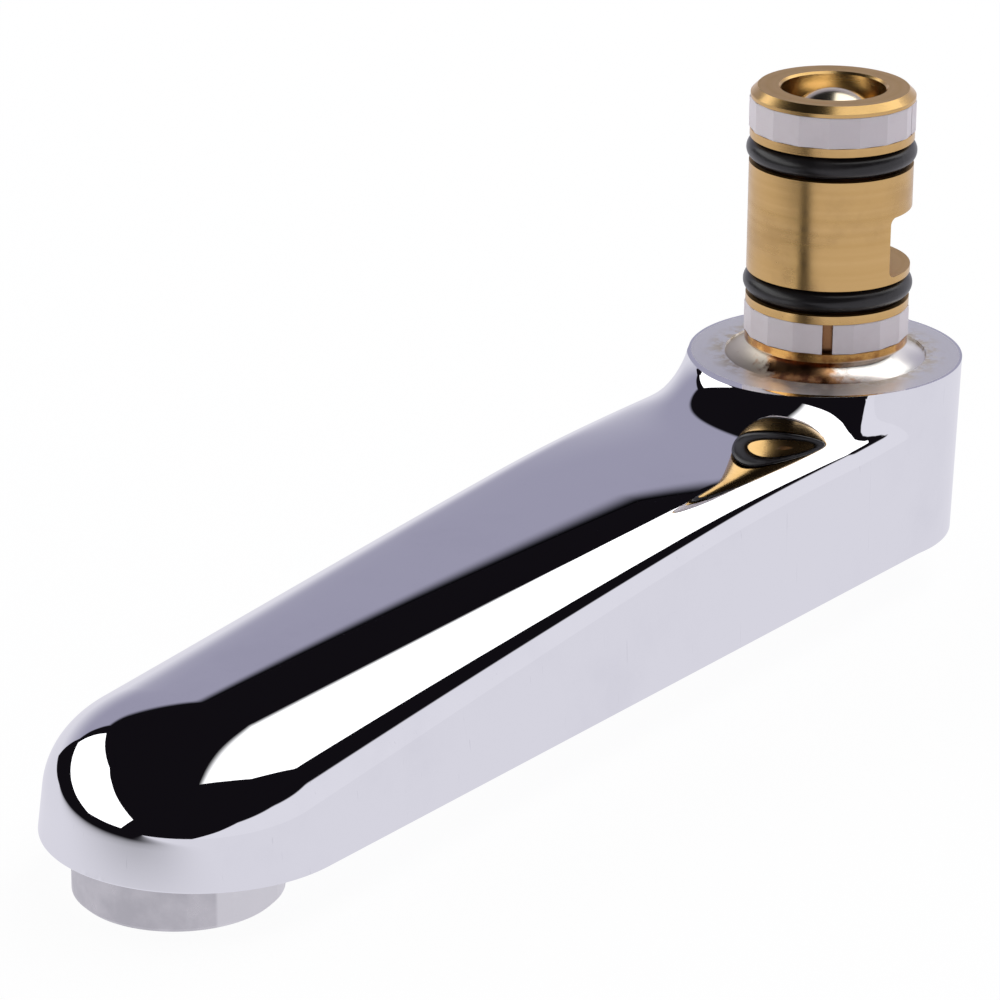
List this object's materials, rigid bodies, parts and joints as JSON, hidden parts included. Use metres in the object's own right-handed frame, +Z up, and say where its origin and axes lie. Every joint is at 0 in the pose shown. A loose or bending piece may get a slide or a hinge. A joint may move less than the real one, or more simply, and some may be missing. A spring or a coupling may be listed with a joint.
{
  "type": "faucet spout",
  "caption": "Chromed swivel spout for a bath mixer: hollow arm with a crowned top and domed nose, a screw-in aerator below, and a brass post with seals that plugs into the mixer.",
  "frame": {"origin": "on the axis of the post, in the plane of the collar's seat face", "axes": "+Z up along the post, the arm runs towards -Y, X across the arm"},
  "size_m": [0.0384, 0.1658, 0.0683],
  "materials": {
    "polished_chrome": "mirror plated",
    "turned_brass": "turned, bare",
    "polished_ball": "polished",
    "white_plastic": "moulded, satin",
    "black_rubber": "smooth, greased",
    "satin_chrome": "satin",
    "insert_plastic": "moulded",
    "washer_rubber": "matt"
  },
  "bodies": {
    "root": {"spout_body": "polished_chrome", "connector_post": "turned_brass", "plug_ball": "polished_ball", "lower_glide_ring": "white_plastic", "upper_glide_ring": "white_plastic", "lower_o_ring": "black_rubber", "upper_o_ring": "black_rubber", "aerator_housing": "satin_chrome", "aerator_cage": "insert_plastic", "aerator_washer": "washer_rubber", "inlet_screen": "insert_plastic", "jet_plate": "insert_plastic", "outlet_grid": "insert_plastic"}
  },
  "joints": []
}
